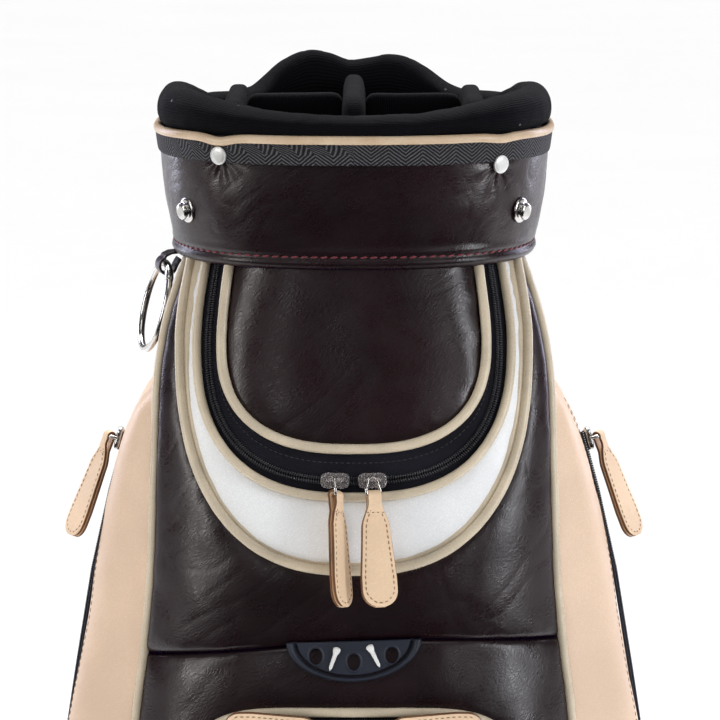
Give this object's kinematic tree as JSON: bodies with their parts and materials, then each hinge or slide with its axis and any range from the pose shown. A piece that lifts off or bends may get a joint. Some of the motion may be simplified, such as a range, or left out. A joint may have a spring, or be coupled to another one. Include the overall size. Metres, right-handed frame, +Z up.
{
  "type": "golf staff bag",
  "caption": "Upright club bag with a padded rim, club dividers, a tapered leather cuff, zipped front and side pockets, towel ring, handle and shoulder strap.",
  "frame": {"origin": "floor point under the centre of the club tube, on the base's flat underside", "axes": "+Z up, the front pockets face -Y, +X to the viewer's right as the front is seen"},
  "size_m": [0.388, 0.3428, 0.8998],
  "materials": {
    "brown_leather": "semi-gloss, creased",
    "white_leather": "semi-gloss",
    "beige_leather": "satin",
    "pull_leather": "satin, stitched",
    "piping_vinyl": "semi-gloss",
    "black_knit": "matte ribbed knit",
    "black_woven": "matte woven",
    "polished_steel": "polished",
    "clear_plastic": "gloss",
    "black_rubber": "matte",
    "black_plastic": "matte"
  },
  "bodies": {
    "root": {"top_frame": "black_plastic", "rim_pad": "black_knit", "rail_left": "black_knit", "rail_right": "black_knit", "rail_centre": "black_knit", "cross_rail_left": "black_knit", "cross_rail_right": "black_knit", "divider_wall_left": "black_woven", "divider_wall_right": "black_woven", "divider_wall_centre": "black_woven", "collar_band": "brown_leather", "webbing_band": "black_woven", "rim_piping": "piping_vinyl", "snap_stud_left": "polished_steel", "snap_stud_right": "polished_steel", "ring_tab": "brown_leather", "club_tube": "black_plastic", "base_tray": "black_rubber", "front_panel": "brown_leather", "white_crescent": "white_leather", "body_zip_tape": "black_woven", "crescent_piping_inner": "piping_vinyl", "crescent_piping_outer": "piping_vinyl", "pocket_shelf": "black_woven", "pocket_floor": "black_woven", "tee_holder": "black_rubber", "lower_panel": "brown_leather", "lower_piping": "piping_vinyl", "body_skin": "brown_leather", "side_piping_left": "piping_vinyl", "side_piping_right": "piping_vinyl", "side_pocket_left": "beige_leather", "side_pocket_right": "beige_leather", "side_zip_tape_left": "black_woven", "side_zip_tape_right": "black_woven", "carry_handle": "brown_leather", "shoulder_strap": "brown_leather", "strap_loop_upper": "polished_steel", "strap_loop_lower": "polished_steel"},
    "upper_flap": {"upper_flap": "brown_leather", "flap_piping": "piping_vinyl", "flap_zip_tape": "black_woven"},
    "upper_slider_left": {"upper_slider_left": "clear_plastic"},
    "upper_slider_right": {"upper_slider_right": "clear_plastic"},
    "upper_pull_left": {"upper_link_left": "polished_steel", "upper_pull_left": "pull_leather"},
    "upper_pull_right": {"upper_link_right": "polished_steel", "upper_pull_right": "pull_leather"},
    "lower_door": {"lower_door": "brown_leather", "lower_zip_tape": "black_woven"},
    "lower_slider_left": {"lower_slider_left": "polished_steel"},
    "lower_slider_right": {"lower_slider_right": "polished_steel"},
    "lower_pull_left": {"lower_pull_left": "pull_leather"},
    "lower_pull_right": {"lower_pull_right": "pull_leather"},
    "side_slider_left": {"side_slider_left": "polished_steel"},
    "side_slider_right": {"side_slider_right": "polished_steel"},
    "side_pull_left": {"side_pull_left": "pull_leather"},
    "side_pull_right": {"side_pull_right": "pull_leather"},
    "towel_ring": {"towel_ring": "polished_steel"}
  },
  "joints": [
    {"name": "upper_flap_swing", "type": "hinge", "parent": "root", "child": "upper_flap", "pos_m": [0, -0.1045, 0.777], "axis": [-1, 0, 0], "range_deg": [0, 70]},
    {"name": "upper_slider_left_travel", "type": "hinge", "parent": "upper_flap", "child": "upper_slider_left", "pos_m": [-0.01334, -0.08984, 0.72668], "axis": [-0.0084, 0.8164, -0.5774], "range_deg": [0, 31]},
    {"name": "upper_pull_left_lift", "type": "hinge", "parent": "upper_slider_left", "child": "upper_pull_left", "pos_m": [-0.01142, -0.15219, 0.65871], "axis": [-0.9996, 0.0129, 0.025], "range_deg": [0, 75]},
    {"name": "upper_slider_right_travel", "type": "hinge", "parent": "upper_flap", "child": "upper_slider_right", "pos_m": [0.01334, -0.08984, 0.72668], "axis": [-0.0084, -0.8164, 0.5774], "range_deg": [0, 31]},
    {"name": "upper_pull_right_lift", "type": "hinge", "parent": "upper_slider_right", "child": "upper_pull_right", "pos_m": [0.01142, -0.15219, 0.65871], "axis": [-0.9996, -0.0129, -0.025], "range_deg": [0, 75]},
    {"name": "lower_door_swing", "type": "hinge", "parent": "root", "child": "lower_door", "pos_m": [0, -0.161, 0.119], "axis": [1, 0, 0], "range_deg": [0, 50]},
    {"name": "lower_slider_left_travel", "type": "slide", "parent": "lower_door", "child": "lower_slider_left", "axis": [-1, 0.0048, 0], "range_m": [0, 0.05]},
    {"name": "lower_pull_left_lift", "type": "hinge", "parent": "lower_slider_left", "child": "lower_pull_left", "pos_m": [-0.01105, -0.17801, 0.5086], "axis": [0, 0, 1], "range_deg": [0, 110]},
    {"name": "lower_slider_right_travel", "type": "slide", "parent": "lower_door", "child": "lower_slider_right", "axis": [1, 0.0048, 0], "range_m": [0, 0.05]},
    {"name": "lower_pull_right_lift", "type": "hinge", "parent": "lower_slider_right", "child": "lower_pull_right", "pos_m": [0.01105, -0.17801, 0.5086], "axis": [0, 0, -1], "range_deg": [0, 110]},
    {"name": "side_slider_left_travel", "type": "slide", "parent": "root", "child": "side_slider_left", "axis": [-0.2353, -0.1553, -0.9594], "range_m": [0, 0.09]},
    {"name": "side_pull_left_lift", "type": "hinge", "parent": "side_slider_left", "child": "side_pull_left", "pos_m": [-0.15543, -0.03578, 0.66296], "axis": [-0.0695, 0.9873, -0.1428], "range_deg": [0, 80]},
    {"name": "side_slider_right_travel", "type": "slide", "parent": "root", "child": "side_slider_right", "axis": [0.2353, -0.1553, -0.9594], "range_m": [0, 0.09]},
    {"name": "side_pull_right_lift", "type": "hinge", "parent": "side_slider_right", "child": "side_pull_right", "pos_m": [0.15543, -0.03578, 0.66296], "axis": [-0.0695, -0.9873, 0.1428], "range_deg": [0, 80]},
    {"name": "towel_ring_swing", "type": "hinge", "parent": "root", "child": "towel_ring", "pos_m": [-0.1195, -0.024, 0.771], "axis": [-0.2588, 0.9659, 0], "range_deg": [0, 75]}
  ]
}
